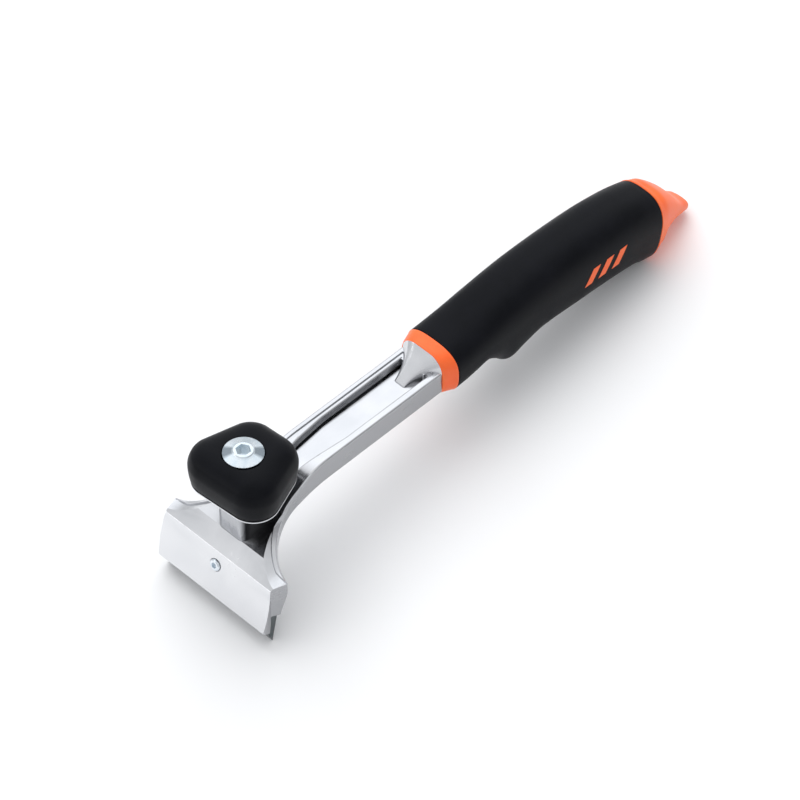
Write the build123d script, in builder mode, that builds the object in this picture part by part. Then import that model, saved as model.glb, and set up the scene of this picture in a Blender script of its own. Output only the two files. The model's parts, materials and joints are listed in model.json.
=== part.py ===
"""Two-handed pull scraper: cast head and shank, clamped carbide blade, front knob and long grip.

Everything is drawn in the tool's own directions and lands in its rest pose: the blade's cutting
edge and the heel of the grip touch the ground.  The origin is at the middle of the footprint, +X
runs to the tail, +Y across and +Z up.
"""
from build123d import *
from math import asin, atan2, cos, degrees, pi, radians, sin, tan
import os

os.makedirs("parts", exist_ok=True)

# ---------------------------------------------------------------- driving dimensions (mm, degrees)
# Head: a wide front panel that leans back under a sloping top, meeting it at the crease.
BLADE_WIDTH = 65.0
PANEL_LEAN = 12.2            # front panel, away from square to the top of the tool
PANEL_HEIGHT = 24.0
PANEL_WALL = 3.6             # thickness of the panel in front of the blade
PANEL_BULGE = 1.0            # how far the panel's ends belly out at half height
SEAT_DROP = 15.5             # from the crease down to the shoulder that the blade stops against
SEAT_DEPTH = 7.8             # from the front face back to the rear of that shoulder
WING_X = 7.9                 # rear corners of the head
WING_HALF = 34.8

# Blade and its clamp.
BLADE_THICK = 3.6
BLADE_HEIGHT = 15.3
EDGE_HEIGHT = 5.0            # bevelled height of the cutting edge
CARBIDE_HEIGHT = 3.0         # brazed strip at the very edge
CLAMP_HALF = 24.0
CLAMP_THICK = 3.6
CLAMP_TOP = 3.6              # from the crease down to the bar
CLAMP_FOOT = 23.5
SCREW_DROP = 7.4             # blade screw, down from the crease
SCREW_R = 2.0
SCREW_HEAD_R = 2.9
PIN_R = 1.5
PIN_SPAN = 32.0              # between the two pins that guide the clamp bar
GAP = 0.05                   # running clearance and the air round a loose flat piece

# Shank: a U-shaped neck, open underneath, with a pocket along its top.
SLOPE_X = 7.8                # end of the plain slope behind the crease
SLOPE_Z = 5.7
NECK_HALF = 12.1
NECK_ARC_X = 35.8            # where the concave flank runs out into the neck
FLANK_R = 28.0
SHANK_X = 56.0
SHANK_TOP = 25.4             # height of the ridges at SHANK_X
SHANK_RISE = 2.1             # slope of the ridges behind it
SHANK_END = 123.0
SKIN = 2.6
RIM_WIDTH = 2.4
RIM_STEP = 0.7
RIDGE_R = 1.2                # rounding of the ridges' outer edges
CAST_R = 0.5                 # rounding of the other cast edges
POCKET_DEPTH = 4.0
POCKET_HALF = 6.4            # half width of the floor; the walls lean out by the draft
POCKET_DRAFT = 22.0
POCKET_R = 0.9               # rounding of the pocket's upper edges
POCKET_END = 117.0
HOOD = [                     # x, half width, bottom, top, corner of the hood in front of the collar
    (109.0, 3.2, 19.0, 23.9, 1.2),
    (116.0, 5.6, 17.5, 29.8, 3.6),
    (SHANK_END, NECK_HALF, 14.0, 35.5, 7.8),
]

# Front knob, clamped on a square post by one bolt.
KNOB_X = 16.5
POST_SIZE = 18.0
POST_CORNER = 4.0
SEAT_Z = 5.4                 # flat seat of the post on the head
SEAT_FLOOR = 3.4             # thickness under that seat
KNOB_TURN = 4.0              # the knob stands slightly turned at rest
KNOB_Z = 29.3                # underside of the knob's base plate
KNOB_FRONT = 18.0            # from the bolt to the knob's front and rear faces
KNOB_REAR = 22.5
KNOB_FRONT_HALF = 23.0       # the plan narrows to the rear
KNOB_REAR_HALF = 18.0
KNOB_CORNER = 12.5
PLATE_THICK = 1.0
CORE_INSET = 7.0
CORE_TOP = 46.0
KNOB_PROFILE = [             # height and inset from the widest outline, from the plate up
    (30.3, 1.9), (31.0, 1.1), (34.0, 0.4), (38.0, 0.0), (41.0, 0.05), (44.5, 1.2), (46.2, 2.65),
    (47.5, 4.5), (48.4, 6.7), (48.9, 8.8), (49.1, 10.5),
]
BOLT_R = 3.0
BOLT_HEAD_R = 9.05
BOLT_RIM_Z = 49.6
BOLT_LAND_Z = 51.3
BOLT_LAND_R = 4.3
HEX_KEY = 6.0

# Handle: orange collar, black sleeve and orange end cap on one core.
COLLAR_END = 130.0
GRIP_TILT = 10.5             # the sleeve's rear edge leans back at the top
CORE_HALF = 10.5
CORE_LOW = 17.0
CORE_HIGH = 32.5
CORE_END = 250.0
TANG_HALF = 7.0
TANG_LOW = 20.0
TANG_HIGH = 28.5
TANG_END = 196.0
TANG_PIN_R = 2.0
PLUG_LENGTH = 12.0
TANG_PINS = (150.0, 182.0)
PLUG_HALF = 6.0
MARK_X = 214.0               # first of the slanting bars on the sleeve's sides
MARK_Z = 27.5
MARK_PITCH = 8.5
MARK_DEPTH = 0.5

# Sections along the sleeve: x, half width, lowest point, height of the widest line, highest point.
# The finger stop is at 166.
COLLAR_FRONT = (13.0, 12.4, 24.2, 36.0)
GRIP = [
    (COLLAR_END, 15.8, 11.0, 24.6, 36.4),
    (134.0, 15.8, 11.5, 24.9, 36.7),
    (138.0, 15.8, 12.1, 25.2, 37.1),
    (144.0, 15.7, 13.6, 25.6, 38.0),
    (150.0, 15.6, 15.0, 26.0, 39.1),
    (158.0, 15.6, 9.4, 26.4, 40.8),
    (166.0, 15.6, 2.6, 26.7, 42.2),
    (174.0, 15.7, 5.6, 27.0, 43.4),
    (185.0, 15.8, 9.4, 27.2, 44.5),
    (206.0, 15.8, 9.0, 27.4, 45.2),
    (228.0, 15.8, 8.3, 26.8, 44.5),
    (244.0, 15.6, 6.8, 25.4, 42.6),
    (250.0, 15.6, 4.9, 24.2, 41.2),
]
GRIP_REAR = (257.8, 15.45, 3.75, 21.8, 38.9)
TAIL = [
    (263.0, 14.0, 7.8, 22.8, 37.8),
    (266.5, 12.6, 11.0, 23.8, 36.4),
    (274.0, 9.8, 12.6, 21.0, 29.2),
    (281.0, 7.4, 12.0, 16.2, 20.4),
    (287.6, 5.3, 10.2, 13.0, 15.8),
]
GRIP_POWER = 2.7             # squareness of the sections: 2 is an ellipse

# Rest pose: the tool leans on two lines, the cutting edge and the heel of the grip.
HEEL_X = 254.3
HEEL_Z = 3.7

# ---------------------------------------------------------------- rest pose and planes of the tool
lean_sin = sin(radians(PANEL_LEAN))
lean_cos = cos(radians(PANEL_LEAN))


def panel_point(depth, drop):
    """x and z in the tool of a point behind the panel's face and below the crease."""
    return (depth * lean_cos - drop * lean_sin, -depth * lean_sin - drop * lean_cos)


edge_x, edge_z = panel_point(PANEL_WALL + GAP + BLADE_THICK, SEAT_DROP + GAP + BLADE_HEIGHT)
foot_x, foot_z = panel_point(0, PANEL_HEIGHT)
lay = atan2(HEEL_Z - edge_z, HEEL_X - edge_x)
tail_x, tail_half, tail_low, tail_mid, tail_high = TAIL[-1]
front = foot_x * cos(lay) + foot_z * sin(lay)
rear = tail_x * cos(lay) + tail_high * sin(lay)
crease = (-(front + rear) / 2, 0, edge_x * sin(lay) - edge_z * cos(lay))

# tool: seen from above, its x to the tail.  side: seen from the right, y upwards.
# head: like side, but turned with the front panel, x straight back through the panel.
tool = Plane(origin=crease, x_dir=(cos(lay), 0, -sin(lay)), z_dir=(sin(lay), 0, cos(lay)))
side = Plane(origin=crease, x_dir=tool.x_dir, z_dir=(0, -1, 0))
head = Plane(origin=crease, x_dir=tool.x_dir * lean_cos - tool.z_dir * lean_sin, z_dir=(0, -1, 0))
SPAN = 40.0                  # more than half of the tool's width


def station(x, tilt=0.0, z=0.0):
    """A plane across the tool at x: its own x runs along +Y and its own y upwards."""
    forward = tool.x_dir * cos(radians(tilt)) - tool.z_dir * sin(radians(tilt))
    return Plane(origin=tool.from_local_coords((x, 0, z)), x_dir=(0, 1, 0), z_dir=forward)


def panel_spot(y, drop, depth=0.0):
    """A plane facing back through the front panel, at a spot below the crease."""
    return Plane(origin=head.from_local_coords((depth, -drop, -y)), x_dir=(0, 1, 0), z_dir=head.x_dir)


def knob_level(z, turn=0):
    """A plane square to the knob's axis, its origin on that axis, turned about it."""
    forward = tool.x_dir * cos(radians(turn)) + Vector(0, 1, 0) * sin(radians(turn))
    return Plane(origin=tool.from_local_coords((KNOB_X, 0, z)), x_dir=forward, z_dir=tool.z_dir)


def knob_plan(z, inset):
    """Outline of the knob at a height: rounded corners, wider in front than at the rear."""
    front, rear = KNOB_CORNER - KNOB_FRONT, KNOB_REAR - KNOB_CORNER
    front_half, rear_half = KNOB_FRONT_HALF - KNOB_CORNER, KNOB_REAR_HALF - KNOB_CORNER
    with BuildSketch(knob_level(z, KNOB_TURN)) as plan:
        Polygon((rear, rear_half), (front, front_half), (front, -front_half), (rear, -rear_half), align=None)
        offset(amount=KNOB_CORNER - inset)
    return plan.sketch


def round_edges(radius, spots):
    """Fillet the edges of the part in hand that pass nearest to the spots, on both sides of the tool."""
    picked = ShapeList()
    for x, y, z in spots:
        for across in {y, -y}:
            picked.append(edges().sort_by_distance(tool.from_local_coords((x, across, z)))[0])
    fillet(picked, radius)


# ---------------------------------------------------------------- scraper body
def plan_face(inset):
    """Outline of head and shank from above."""
    arc_y = NECK_HALF + FLANK_R
    wing = WING_HALF - inset
    sweep = 90 - degrees(asin((arc_y - wing + 0.9) / (FLANK_R + inset)))
    end = BLADE_WIDTH / 2 - inset
    with BuildSketch(tool.offset(-SPAN)) as plan:
        with BuildLine():
            flank = CenterArc((NECK_ARC_X, arc_y), FLANK_R + inset, 270, -sweep)
            Polyline(flank @ 0, (SHANK_END - inset, NECK_HALF - inset), (SHANK_END - inset, 0))
            Polyline(flank @ 1, (WING_X, wing), (0, end))
            bulge = ThreePointArc((0, end), (foot_x / 2, end + PANEL_BULGE), (foot_x, end))
            Polyline(bulge @ 1, (2 * foot_x, end), (2 * foot_x, 0))
            mirror(about=Plane.XZ)
        make_face()
    return plan.sketch


def neck_solid(inset, drop, soft=0.0):
    """Head and shank, solid downwards: plan, side and front outlines cut into each other.

    A radius in soft rounds the outer edges of the top, from the shank's end to the head's corners.
    """
    rise = (SHANK_END - SHANK_X) * tan(radians(SHANK_RISE))
    with BuildSketch(side.offset(-SPAN)) as ramp_side:
        with BuildLine():
            slope = Line((2 * foot_x, 2 * foot_x * SLOPE_Z / SLOPE_X - drop), (SLOPE_X, SLOPE_Z - drop))
            ramp = Spline(slope @ 1, (28.3, 14.2 - drop), (41, 21.2 - drop), (SHANK_X, SHANK_TOP - drop),
                          tangents=[(1, 0.36), (1, tan(radians(SHANK_RISE)))])
            Polyline(ramp @ 1, (SHANK_END, SHANK_TOP + rise - drop), (SHANK_END, -SPAN),
                     (2 * foot_x, -SPAN), slope @ 0)
        make_face()
    with BuildSketch(station(2 * foot_x)) as crown:
        with BuildLine():
            fall = Spline((12.9 - inset, 15 - drop), (14.8 - inset, 9.4 - drop),
                          (19.9 - inset / 2, 5.9 - drop), (30.6, 1.4 - drop), (SPAN, 1.0 - drop))
            Polyline(fall @ 0, (12.9 - inset, SPAN), (0, SPAN))
            Polyline(fall @ 1, (SPAN, -SPAN), (0, -SPAN))
            mirror(about=Plane.YZ)
        make_face()
    with BuildPart() as form:
        extrude(plan_face(inset), amount=2 * SPAN)
        extrude(ramp_side.sketch, amount=2 * SPAN, mode=Mode.INTERSECT)
        extrude(crown.sketch, amount=SHANK_END + 4 * SPAN, mode=Mode.INTERSECT)
        if soft:
            spots = [(89.5, 12.1, 26.7), (45.4, 12.1, 23.3), (32.5, 12.3, 16.4), (16.6, 19.7, 6.0)]
            round_edges(soft, [(x, y, z - drop) for x, y, z in spots])
    return form.part


with BuildPart() as rim:
    # A raised border along the flanks and the shank's edges.
    add(neck_solid(0, -RIM_STEP, RIDGE_R))
    extrude(plan_face(RIM_WIDTH), amount=2 * SPAN, mode=Mode.SUBTRACT)
    with BuildSketch(station(WING_X)):
        Rectangle(2 * SPAN, 2 * SPAN)
    extrude(amount=-SPAN, mode=Mode.SUBTRACT)

with BuildPart() as hollow:
    # The space under the skin, behind the thick upper part of the front panel.
    add(neck_solid(SKIN, SKIN))
    with BuildSketch(head.offset(-SPAN)):
        with Locations((SEAT_DEPTH, 0)):
            Rectangle(SHANK_END, 4 * SPAN, align=(Align.MIN, Align.CENTER))
    extrude(amount=2 * SPAN, mode=Mode.INTERSECT)

with BuildPart() as scraper_body:
    add(neck_solid(0, 0, RIDGE_R))
    add(rim.part)
    # Lower outline: blade seat and panel in front, then the belly of the side walls.
    with BuildSketch(side.offset(-SPAN)):
        with BuildLine():
            belly = Spline((8.6, -3.0), (20.6, 3.5), (30, 8), (42, 12.2), (SHANK_X, 14.4),
                           tangents=[(1, 0.35), (1, 0.05)])
            Polyline(belly @ 1, (SHANK_END, 17.2), (SHANK_END, SPAN), (0, SPAN), (0, 0), (foot_x, foot_z),
                     panel_point(PANEL_WALL, PANEL_HEIGHT + 0.3), panel_point(PANEL_WALL, SEAT_DROP),
                     panel_point(SEAT_DEPTH, SEAT_DROP), belly @ 0)
        make_face()
    extrude(amount=2 * SPAN, mode=Mode.INTERSECT)
    add(hollow.part, mode=Mode.SUBTRACT)
    # Boss and socket of the knob's post, with the bolt's hole.
    with BuildSketch(knob_level(SEAT_Z - SEAT_FLOOR)):
        RectangleRounded(POST_SIZE, POST_SIZE, POST_CORNER)
    extrude(amount=SEAT_FLOOR)
    with BuildSketch(knob_level(SEAT_Z)):
        RectangleRounded(POST_SIZE, POST_SIZE, POST_CORNER)
    extrude(amount=SPAN, mode=Mode.SUBTRACT)
    with BuildSketch(knob_level(-SPAN / 2)):
        Circle(BOLT_R + 0.3)
    extrude(amount=2 * SPAN, mode=Mode.SUBTRACT)
    # Floor and walls of the pocket along the top of the shank, waisted towards the knob.
    rise = tan(radians(SHANK_RISE))
    floor = Plane(origin=tool.from_local_coords((SHANK_X, 0, SHANK_TOP - POCKET_DEPTH)),
                  x_dir=tool.x_dir + tool.z_dir * rise, z_dir=tool.z_dir - tool.x_dir * rise)
    with BuildSketch(floor):
        with Locations((-12, 0)):
            Rectangle(SHANK_END - SHANK_X + 12, 2 * NECK_HALF - 2, align=(Align.MIN, Align.CENTER))
    extrude(amount=-SKIN)
    with BuildSketch(floor):
        with BuildLine():
            Polyline((POCKET_END - SHANK_X, 0), (POCKET_END - SHANK_X, POCKET_HALF), (14, POCKET_HALF),
                     (-12, POCKET_HALF - 2.4), (-12, 0))
            mirror(about=Plane.XZ)
        make_face()
    extrude(amount=12, taper=-POCKET_DRAFT, mode=Mode.SUBTRACT)
    round_edges(POCKET_R, [(94.1, 8.0, 26.8), (62.9, 7.4, 25.7)])
    # Hood that rises from the pocket's floor to the collar, and the tang inside the handle.
    for x, half, low, high, corner in HOOD:
        with BuildSketch(station(x)):
            with Locations((0, low)):
                Rectangle(2 * half, high - low, align=(Align.CENTER, Align.MIN))
            fillet(vertices().group_by(Axis.Z)[-1], corner)
    loft()
    with BuildSketch(station(POCKET_END)):
        with Locations((0, (TANG_LOW + TANG_HIGH) / 2)):
            Rectangle(2 * TANG_HALF, TANG_HIGH - TANG_LOW)
    extrude(amount=TANG_END - POCKET_END)
    # Holes of the blade screw, its sunk head and the two guide pins.
    with BuildSketch(panel_spot(0, SCREW_DROP, -1)):
        Circle(SCREW_HEAD_R + 0.35)
    extrude(amount=1.7, mode=Mode.SUBTRACT)
    with BuildSketch(panel_spot(0, SCREW_DROP)):
        Circle(SCREW_R + 0.2)
    extrude(amount=2 * SEAT_DEPTH, mode=Mode.SUBTRACT)
    with BuildSketch(panel_spot(0, SCREW_DROP, SEAT_DEPTH - 4)):
        with GridLocations(PIN_SPAN, 1, 2, 1):
            Circle(PIN_R)
    extrude(amount=2 * SEAT_DEPTH, mode=Mode.SUBTRACT)
    with BuildSketch(Plane(origin=tool.from_local_coords((0, SPAN, (TANG_LOW + TANG_HIGH) / 2)),
                           x_dir=tool.x_dir, z_dir=(0, -1, 0))):
        with Locations((TANG_PINS[0], 0), (TANG_PINS[1], 0)):
            Circle(TANG_PIN_R)
    extrude(amount=2 * SPAN, mode=Mode.SUBTRACT)
    # Soft cast edges: the crease, the lower edges of the side walls and the panel's lower edge.
    round_edges(CAST_R, [(0, 0, 0)])
    round_edges(CAST_R, [(89.5, 12.1, 15.8), (45.7, 12.1, 13.1), (18.8, 17.9, 2.4)])
    round_edges(CAST_R, [(foot_x, 0, foot_z)])

# ---------------------------------------------------------------- blade, clamp bar, screw and pins
blade_top = SEAT_DROP + GAP
blade_front = PANEL_WALL + GAP
blade_rear = blade_front + BLADE_THICK
bevel_top = blade_top + BLADE_HEIGHT - EDGE_HEIGHT
braze = blade_top + BLADE_HEIGHT - CARBIDE_HEIGHT
braze_depth = blade_front + (braze - bevel_top) * BLADE_THICK / EDGE_HEIGHT

with BuildPart() as blade_body:
    with BuildSketch(head.offset(-BLADE_WIDTH / 2)):
        with BuildLine():
            Polyline((blade_front, -blade_top), (blade_rear, -blade_top), (blade_rear, -braze),
                     (braze_depth, -braze), (blade_front, -bevel_top), close=True)
        make_face()
    extrude(amount=BLADE_WIDTH)

with BuildPart() as carbide_edge:
    with BuildSketch(head.offset(-BLADE_WIDTH / 2)):
        with BuildLine():
            Polyline((braze_depth, -braze), (blade_rear, -braze),
                     (blade_rear, -blade_top - BLADE_HEIGHT), close=True)
        make_face()
    extrude(amount=BLADE_WIDTH)

bar_front = SEAT_DEPTH + 2 * GAP
bar_rear = bar_front + CLAMP_THICK
with BuildPart() as blade_clamp_bar:
    with BuildSketch(head.offset(-CLAMP_HALF)):
        with BuildLine():
            Polyline((bar_front, -CLAMP_TOP), (bar_rear, -CLAMP_TOP), (bar_rear, 2 - CLAMP_FOOT),
                     (bar_rear - 2, -CLAMP_FOOT), (blade_rear + GAP, -CLAMP_FOOT),
                     (blade_rear + GAP, -blade_top - 0.4), (bar_front, -blade_top - 0.4), close=True)
        make_face()
    extrude(amount=2 * CLAMP_HALF)
    with BuildSketch(panel_spot(0, SCREW_DROP)):
        Circle(SCREW_R + GAP)
    extrude(amount=2 * bar_rear, mode=Mode.SUBTRACT)
    with BuildSketch(panel_spot(0, SCREW_DROP)):
        with GridLocations(PIN_SPAN, 1, 2, 1):
            Circle(PIN_R + GAP)
    extrude(amount=2 * bar_rear, mode=Mode.SUBTRACT)

with BuildPart() as clamp_guide_pins:
    with BuildSketch(panel_spot(0, SCREW_DROP, SEAT_DEPTH - 4)):
        with GridLocations(PIN_SPAN, 1, 2, 1):
            Circle(PIN_R)
    extrude(amount=4 + CLAMP_THICK + 2.5)
    chamfer(faces().sort_by(Axis(crease, head.x_dir))[-2:].edges(), 0.4)

with BuildPart() as blade_screw:
    with BuildSketch(panel_spot(0, SCREW_DROP, 0.6)):
        Circle(SCREW_R)
    extrude(amount=bar_rear + 1)
    with BuildSketch(panel_spot(0, SCREW_DROP, 0.6)):
        Circle(SCREW_HEAD_R)
    extrude(amount=-1.6)
    fillet(faces().sort_by(Axis(crease, head.x_dir))[0].edges(), 1.0)
    with BuildSketch(panel_spot(0, SCREW_DROP, -1.2)):
        RegularPolygon(1.5, 6)
    extrude(amount=1.4, mode=Mode.SUBTRACT)

# ---------------------------------------------------------------- knob post, knob and bolt
WASHER_THICK = 0.8
with BuildPart() as knob_post:
    with BuildSketch(knob_level(SEAT_Z)):
        RectangleRounded(POST_SIZE, POST_SIZE, POST_CORNER)
        Circle(BOLT_R + 0.3, mode=Mode.SUBTRACT)
    extrude(amount=KNOB_Z - WASHER_THICK - SEAT_Z)

with BuildPart() as knob_thrust_washer:
    with BuildSketch(knob_level(KNOB_Z - WASHER_THICK)):
        Circle(POST_SIZE / 2 - 0.3)
        Circle(BOLT_R + 0.3, mode=Mode.SUBTRACT)
    extrude(amount=WASHER_THICK - GAP)

with BuildPart() as knob_base_plate:
    extrude(knob_plan(KNOB_Z, 1.0), amount=PLATE_THICK)
    chamfer(faces().sort_by(Axis(crease, tool.z_dir))[0].edges(), 0.3)
    with BuildSketch(knob_level(KNOB_Z)):
        Circle(BOLT_R + 0.3)
    extrude(amount=PLATE_THICK, mode=Mode.SUBTRACT)

with BuildPart() as knob_core:
    extrude(knob_plan(KNOB_Z + PLATE_THICK, CORE_INSET), amount=CORE_TOP - KNOB_Z - PLATE_THICK)
    with BuildSketch(knob_level(KNOB_Z)):
        Circle(BOLT_R + 0.3)
    extrude(amount=SPAN, mode=Mode.SUBTRACT)

with BuildPart() as knob_grip:
    loft([knob_plan(z, inset) for z, inset in KNOB_PROFILE])
    extrude(knob_plan(KNOB_Z, CORE_INSET), amount=CORE_TOP - KNOB_Z, mode=Mode.SUBTRACT)
    with BuildSketch(knob_level(CORE_TOP)):
        Circle(BOLT_HEAD_R + 0.3)
    extrude(amount=SPAN, mode=Mode.SUBTRACT)

NUT_WASHER = 1.0
NUT_HEIGHT = 5.0
boss_bottom = SEAT_Z - SEAT_FLOOR
bolt_end = boss_bottom - NUT_WASHER - NUT_HEIGHT - 1.5
with BuildPart() as knob_bolt:
    # Flat bearing face, short rim, wide cone, raised land with a hexagon socket.
    with BuildSketch(Plane(origin=knob_level(0).origin, x_dir=tool.x_dir, z_dir=(0, -1, 0))):
        with BuildLine():
            Polyline((0, bolt_end), (BOLT_R - 0.6, bolt_end), (BOLT_R, bolt_end + 0.6),
                     (BOLT_R, CORE_TOP + GAP), (BOLT_HEAD_R, CORE_TOP + GAP), (BOLT_HEAD_R, BOLT_RIM_Z),
                     (BOLT_LAND_R + 0.4, BOLT_LAND_Z - 0.4),
                     (BOLT_LAND_R, BOLT_LAND_Z), (0, BOLT_LAND_Z), close=True)
        make_face()
    revolve(axis=Axis(knob_level(0).origin, tool.z_dir))
    with BuildSketch(knob_level(BOLT_LAND_Z)):
        RegularPolygon(HEX_KEY / 2, 6, major_radius=False)
    extrude(amount=-3.2, mode=Mode.SUBTRACT)

with BuildPart() as knob_nut_washer:
    with BuildSketch(knob_level(boss_bottom)):
        Circle(7.5)
        Circle(BOLT_R + 0.3, mode=Mode.SUBTRACT)
    extrude(amount=-NUT_WASHER)

with BuildPart() as knob_nut:
    with BuildSketch(knob_level(boss_bottom - NUT_WASHER)):
        RegularPolygon(5.0, 6, major_radius=False)
        Circle(BOLT_R + GAP, mode=Mode.SUBTRACT)
    extrude(amount=-NUT_HEIGHT)


# ---------------------------------------------------------------- handle
def grip_face(plane, half, low, mid, high):
    """A squared ellipse across the handle, from low to high, and half wide each way at mid."""
    steps = 24
    points = []
    for step in range(steps):
        turn = 2 * pi * (step + 0.5) / steps
        reach = (abs(cos(turn)) ** GRIP_POWER + abs(sin(turn)) ** GRIP_POWER) ** (-1 / GRIP_POWER)
        tall = high - mid if sin(turn) > 0 else mid - low
        points.append((half * reach * cos(turn), mid + tall * reach * sin(turn)))
    with BuildSketch(plane) as section:
        with BuildLine():
            Spline(*points, periodic=True)
        make_face()
    return section.sketch


def grip_rear_face(less):
    """The sleeve's rear edge, which leans back at the top."""
    x, half, low, mid, high = GRIP_REAR
    centre = (low + high) / 2
    return grip_face(station(x, GRIP_TILT, centre), half - less, low - centre + less, mid - centre,
                     high - centre - less)


def grip_solid(less):
    """The sleeve's outer shape, smaller by less all round."""
    sections = [grip_face(station(x), half - less, low + less, mid, high - less)
                for x, half, low, mid, high in GRIP]
    with BuildPart() as solid:
        loft(sections + [grip_rear_face(less)])
    return solid.part


def core_box(start, end):
    """The straight core that runs through collar, sleeve and into the end cap."""
    with BuildPart() as box:
        with BuildSketch(station(start)):
            with Locations((0, (CORE_LOW + CORE_HIGH) / 2)):
                RectangleRounded(2 * CORE_HALF, CORE_HIGH - CORE_LOW, 4.0)
        extrude(amount=end - start)
    return box.part


with BuildPart() as tang_pins:
    # Two cross pins that hold the core on the tang.
    with BuildSketch(Plane(origin=tool.from_local_coords((0, CORE_HALF, (TANG_LOW + TANG_HIGH) / 2)),
                           x_dir=tool.x_dir, z_dir=(0, -1, 0))):
        with Locations((TANG_PINS[0], 0), (TANG_PINS[1], 0)):
            Circle(TANG_PIN_R)
    extrude(amount=2 * CORE_HALF)

with BuildPart() as handle_core:
    add(core_box(SHANK_END, CORE_END))
    with BuildSketch(station(SHANK_END)):
        with Locations((0, (TANG_LOW + TANG_HIGH) / 2)):
            Rectangle(2 * TANG_HALF, TANG_HIGH - TANG_LOW)
    extrude(amount=TANG_END - SHANK_END, mode=Mode.SUBTRACT)
    with BuildSketch(station(CORE_END)):
        with Locations((0, (CORE_LOW + CORE_HIGH) / 2)):
            Rectangle(2 * PLUG_HALF, 2 * PLUG_HALF)
    extrude(amount=-PLUG_LENGTH, mode=Mode.SUBTRACT)
    add(tang_pins.part, mode=Mode.SUBTRACT)

with BuildPart() as front_collar:
    loft([grip_face(station(SHANK_END), *COLLAR_FRONT), grip_face(station(COLLAR_END), *GRIP[0][1:])])
    add(core_box(SHANK_END, COLLAR_END), mode=Mode.SUBTRACT)

with BuildPart() as grip_mark:
    # Three slanting bars let into each side, flush with the sleeve.
    with BuildSketch(side.offset(-SPAN)):
        for bar in range(3):
            with Locations((MARK_X + bar * MARK_PITCH, MARK_Z)):
                Polygon((-5.5, -4), (-1, -4), (4.5, 4), (0, 4), align=None)
    extrude(amount=2 * SPAN)
    add(grip_solid(0), mode=Mode.INTERSECT)
    add(grip_solid(MARK_DEPTH), mode=Mode.SUBTRACT)

with BuildPart() as cap_plug:
    # Square plug that carries the end cap in the core.
    with BuildSketch(station(CORE_END - PLUG_LENGTH)):
        with Locations((0, (CORE_LOW + CORE_HIGH) / 2)):
            Rectangle(2 * PLUG_HALF, 2 * PLUG_HALF)
    extrude(amount=TAIL[0][0] - CORE_END + PLUG_LENGTH)

with BuildPart() as grip_sleeve:
    add(grip_solid(0))
    add(core_box(COLLAR_END, CORE_END), mode=Mode.SUBTRACT)
    add(cap_plug.part, mode=Mode.SUBTRACT)
    add(grip_mark.part, mode=Mode.SUBTRACT)

with BuildPart() as end_cap:
    # Flares in from the sleeve's leaning rear edge to a blunt, low tongue.
    loft([grip_rear_face(0)] + [grip_face(station(x), *section) for x, *section in TAIL])
    add(cap_plug.part)

# ---------------------------------------------------------------- write the pieces
pieces = {
    "scraper_body": scraper_body,
    "blade_body": blade_body,
    "carbide_edge": carbide_edge,
    "blade_clamp_bar": blade_clamp_bar,
    "clamp_guide_pins": clamp_guide_pins,
    "blade_screw": blade_screw,
    "knob_post": knob_post,
    "knob_thrust_washer": knob_thrust_washer,
    "knob_base_plate": knob_base_plate,
    "knob_core": knob_core,
    "knob_grip": knob_grip,
    "knob_bolt": knob_bolt,
    "knob_nut_washer": knob_nut_washer,
    "knob_nut": knob_nut,
    "tang_pins": tang_pins,
    "handle_core": handle_core,
    "front_collar": front_collar,
    "grip_mark": grip_mark,
    "grip_sleeve": grip_sleeve,
    "end_cap": end_cap,
}
for name, piece in pieces.items():
    piece.part.label = name
    export_step(piece.part, f"parts/{name}.step")
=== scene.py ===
"""Looks of the two-handed pull scraper: polished cast head, black knob and grip, orange trim."""
import json
import math

import bpy
from mathutils import Matrix, Vector


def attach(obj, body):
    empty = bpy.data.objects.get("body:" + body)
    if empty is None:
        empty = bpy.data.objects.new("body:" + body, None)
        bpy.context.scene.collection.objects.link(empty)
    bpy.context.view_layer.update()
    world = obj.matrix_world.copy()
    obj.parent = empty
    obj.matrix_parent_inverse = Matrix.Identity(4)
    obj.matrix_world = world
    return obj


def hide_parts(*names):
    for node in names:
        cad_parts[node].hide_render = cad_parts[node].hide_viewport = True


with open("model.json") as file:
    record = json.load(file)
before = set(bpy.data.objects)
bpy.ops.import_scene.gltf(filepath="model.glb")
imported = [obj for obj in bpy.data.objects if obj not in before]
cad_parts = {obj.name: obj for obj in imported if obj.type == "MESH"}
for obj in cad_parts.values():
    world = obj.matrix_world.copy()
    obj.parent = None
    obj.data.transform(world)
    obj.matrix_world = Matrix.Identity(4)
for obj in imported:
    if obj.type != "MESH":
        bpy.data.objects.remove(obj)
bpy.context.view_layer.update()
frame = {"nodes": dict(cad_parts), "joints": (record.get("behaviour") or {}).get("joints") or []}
MM = 0.001

# ---------------------------------------------------------------- the tool's own directions
# The knob's axis stands square to the tool, so its joint gives the tool's tilt and origin.
KNOB_X = 16.5
AXIS_Z = 40.0
knob_joint = next(j for j in frame["joints"] if j["name"] == "knob_turn")
up = Vector(knob_joint["axis"]).normalized()
across = Vector((0, 1, 0))
along = across.cross(up)
origin = Vector(knob_joint["pos_m"]) - along * KNOB_X * MM - up * AXIS_Z * MM


def at(x, y, z):
    """A point of the tool, in mm along, across and up, as a place in the shared frame."""
    return origin + (along * x + across * y + up * z) * MM


def turned(x, y, z):
    """A direction of the tool, as a direction of the shared frame."""
    return (along * x + across * y + up * z).normalized()


# ---------------------------------------------------------------- camera
HEADING = math.radians(44.633)      # of the view, turned from across towards along
DROP = math.radians(46.367)         # of the view, below the tool's own level
TARGET = (109.444, 0, 13.189)       # the tool's point in the middle of the view
DISTANCE = 2.4
LENS = 248.2
SENSOR_WIDTH = 36
FAR_LIMIT = 50

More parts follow.
